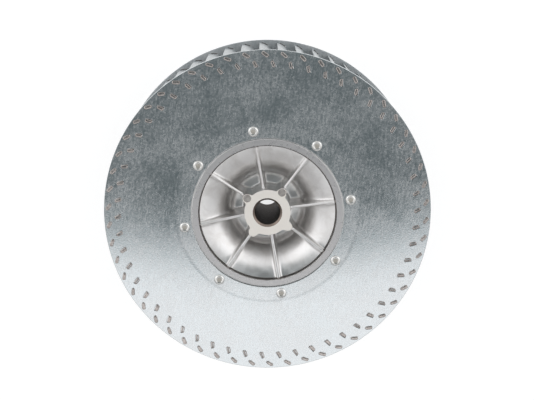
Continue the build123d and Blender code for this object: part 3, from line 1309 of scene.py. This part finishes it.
# ---- studio -------------------------------------------------------------------------
@dataclass
class Studio:
    """Pale floor, soft white tent with a dim opening overhead, and the camera. The tent is
    brightest behind the wheel at half height, and dimmer low in front and low behind."""

    levels: Levels
    tilt: float = 12.88           # camera off the shaft's axis, towards +Y
    swing: float = -1.06          # and its turn about the axis
    distance: float = 964.6       # from the middle of the back plate
    rise: float = 11.75           # shift along the picture's height
    side: float = -0.43           # and along its width
    focal: float = 75.94
    sensor: float = 36.0
    opening: float = 28.6         # half angle of the dim opening, about the camera
    opening_soft: float = 1.5     # half of the width of its edge, in degrees
    tent_strength: float = 1.38
    tent_colour: str = "#fefeff"
    opening_strength: float = 0.22
    opening_colour: str = "#edfbff"
    front_share: float = 0.39     # of the tent's light, from low down in front
    back_share: float = 1.05      # from behind
    far_share: float = 0.52       # and of that, from low down behind
    floor_reach: float = 4.0      # half of its side in metres
    floor_colour: str = "#a8a8a8"
    floor_roughness: float = 0.9
    floor_glow: float = 0.75

    def build(self) -> None:
        """Set up floor, tent and camera."""
        self.add_floor()
        self.add_tent()
        self.add_camera()
        bpy.context.scene.view_settings.view_transform = "Standard"

    def axes(self) -> tuple[Vector, Vector, Vector]:
        """Return the camera's right, up and backward directions."""
        tilt, swing = math.radians(self.tilt), math.radians(self.swing)
        back = Vector((math.sin(tilt) * math.sin(swing), math.sin(tilt) * math.cos(swing),
                       math.cos(tilt)))
        right = Vector((0.0, 1.0, 0.0)).cross(back).normalized()
        return right, back.cross(right), back

    def add_camera(self) -> None:
        """Add the camera and make it the scene's own."""
        right, up, back = self.axes()
        data = bpy.data.cameras.new("camera")
        data.sensor_width, data.lens, data.clip_start = self.sensor, self.focal, 10 * MM
        camera = bpy.data.objects.new("camera", data)
        turn = Matrix((right, up, back)).transposed().to_4x4()
        middle = Vector((0.0, 0.0, self.levels.plate_top))
        where = (middle + back * self.distance + up * self.rise + right * self.side) * MM
        camera.matrix_world = Matrix.Translation(where) @ turn
        bpy.context.scene.collection.objects.link(camera)
        bpy.context.scene.camera = camera

    def add_floor(self) -> None:
        """Add the pale floor that the wheel stands on."""
        mesh = bpy.data.meshes.new("floor")
        size = self.floor_reach
        mesh.from_pydata([(-size, -size, 0), (size, -size, 0), (size, size, 0), (-size, size, 0)],
                         [], [(0, 1, 2, 3)])
        material = bpy.data.materials.new("paper_matt_white")
        material.use_nodes = True
        shader = material.node_tree.nodes["Principled BSDF"]
        shader.inputs["Base Color"].default_value = linear(self.floor_colour)
        shader.inputs["Roughness"].default_value = self.floor_roughness
        shader.inputs["Emission Color"].default_value = linear("#ffffff")
        shader.inputs["Emission Strength"].default_value = self.floor_glow
        mesh.materials.append(material)
        floor = bpy.data.objects.new("floor", mesh)
        bpy.context.scene.collection.objects.link(floor)

    def add_tent(self) -> None:
        """Light the scene from a white tent that is dim overhead, round the camera."""
        world = bpy.data.worlds.new("tent")
        world.use_nodes = True
        tree = world.node_tree
        tree.nodes.clear()
        back = self.axes()[2]
        where = add_node(tree, "ShaderNodeTexCoord").outputs["Generated"]
        along = add_node(tree, "ShaderNodeVectorMath", {
            "operation": "DOT_PRODUCT", 1: tuple(back)}, {0: where}).outputs["Value"]
        share = add_node(tree, "ShaderNodeMapRange", {
            "interpolation_type": "SMOOTHSTEP",
            "From Min": math.cos(math.radians(self.opening + self.opening_soft)),
            "From Max": math.cos(math.radians(self.opening - self.opening_soft)),
        }, {"Value": along}).outputs[0]
        parts = add_node(tree, "ShaderNodeSeparateXYZ", links={0: where}).outputs
        shares = [
            add_node(tree, "ShaderNodeMapRange", {
                "interpolation_type": "SMOOTHSTEP",
                "From Min": near, "From Max": far, "To Min": start, "To Max": end,
            }, {"Value": parts["Y"]}).outputs[0]
            for near, far, start, end in ((-0.6, 0.5, self.front_share, self.back_share),
                                          (0.6, 0.9, 1.0, self.far_share))
        ]
        wall = add_node(tree, "ShaderNodeMath", {"operation": "MULTIPLY"},
                        dict(enumerate(shares))).outputs[0]
        side = add_node(tree, "ShaderNodeMapRange", {
            "interpolation_type": "SMOOTHSTEP", "From Min": 0.76, "From Max": 0.90, "To Max": 1.0,
        }, {"Value": parts["Z"], "To Min": wall}).outputs[0]
        tent = add_node(tree, "ShaderNodeMath", {"operation": "MULTIPLY", 1: self.tent_strength},
                        {0: side}).outputs[0]
        strength = add_node(tree, "ShaderNodeMix", {
            "data_type": "FLOAT", 3: self.opening_strength}, {0: share, 2: tent}).outputs[0]
        colour = add_node(tree, "ShaderNodeMix", {
            "data_type": "RGBA",
            6: linear(self.tent_colour), 7: linear(self.opening_colour),
        }, {0: share}).outputs[2]
        light = add_node(tree, "ShaderNodeBackground",
                         links={"Color": colour, "Strength": strength})
        add_node(tree, "ShaderNodeOutputWorld", links={"Surface": light.outputs[0]})
        bpy.context.scene.world = world


def build_wheel(levels: Levels) -> None:
    """Build and dress every piece of the wheel.

    Args:
        levels: The heights and sizes that its pieces share.
    """
    sheet = GalvanisedSheet().build()
    blade_sheet = GalvanisedSheet(name="galvanised_steel_rolled", colour="#bec2c4",
                                  dull_colour="#b2b7b9", roughness=0.34, crystal=4.0).build()
    ring_sheet = GalvanisedSheet(name="galvanised_steel_dull", roughness=0.5).build()
    tab = CoinedTab().build()
    cast = DieCastAluminium().build()
    rim = TurnedAluminium("aluminium_turned_rim", "#c6c4c4", 0.3).build()
    face = TurnedAluminium().build()
    # Painted shade: the bore's chamfer is darker and browner than the turned face it is cut in,
    # for the dark that it reflects
    chamfer = DrawnMetal("aluminium_chamfered_painted_shade", "#988b82", 0.36).build()
    # Painted shade: the reamed bore gets a near-black colour for the shade deep inside it, in
    # place of its own bright aluminium
    bore = DrawnMetal("aluminium_reamed_painted_shade", "#463f3b", 0.62).build()
    mark = DieCastAluminium(name="aluminium_ejector_mark", colour="#b8b4b0",
                            dull_colour="#9a9591", roughness=0.48, flow=3.0).build()
    # Painted shade: a darker aluminium colour for the seam inside the rim, in place of the shade
    # in that corner
    crease = DrawnMetal("aluminium_die_cast_painted_crease_shade", "#908b88", 0.5).build()
    rivet = DrawnMetal("aluminium_cold_headed", "#e6e5e2", 0.18, spread=0.05).build()
    struck = DrawnMetal("aluminium_struck", "#bdb9b1", 0.5, spread=0.1).build()
    screw = DrawnMetal("steel_blackened", "#2e2c2b", 0.34).build()
    blades = Blades(levels)
    tabs = [turn @ place for turn in blades.places() for place in blades.tab_places()]
    tab_size = (blades.tab_width, blades.thickness)
    SheetDisc("formed_back_plate", "back_plate", levels.wheel_radius, PLATE_HOLE_RADIUS,
              levels.plate_bottom, levels.plate_top, tabs, tab_size).build(sheet)
    SheetDisc("formed_inlet_ring", "inlet_ring", levels.wheel_radius, INLET_RADIUS,
              levels.ring_bottom, levels.ring_top, tabs, tab_size).build(ring_sheet)
    blades.build(blade_sheet, tab)
    Hub(levels).build([cast, rim, face, chamfer, bore, mark, crease])
    Rivets(levels).build(rivet, struck)
    set_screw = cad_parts["set_screw"]
    set_screw.data.materials.clear()
    set_screw.data.materials.append(screw)
    LOG.info("set_screw: keeps its packed shape")


def main() -> None:
    """Build the wheel and the studio."""
    logging.basicConfig(level=logging.INFO, format="%(message)s")
    levels = Levels.from_frame()
    build_wheel(levels)
    Studio(levels).build()


if __name__ == "__main__":
    main()
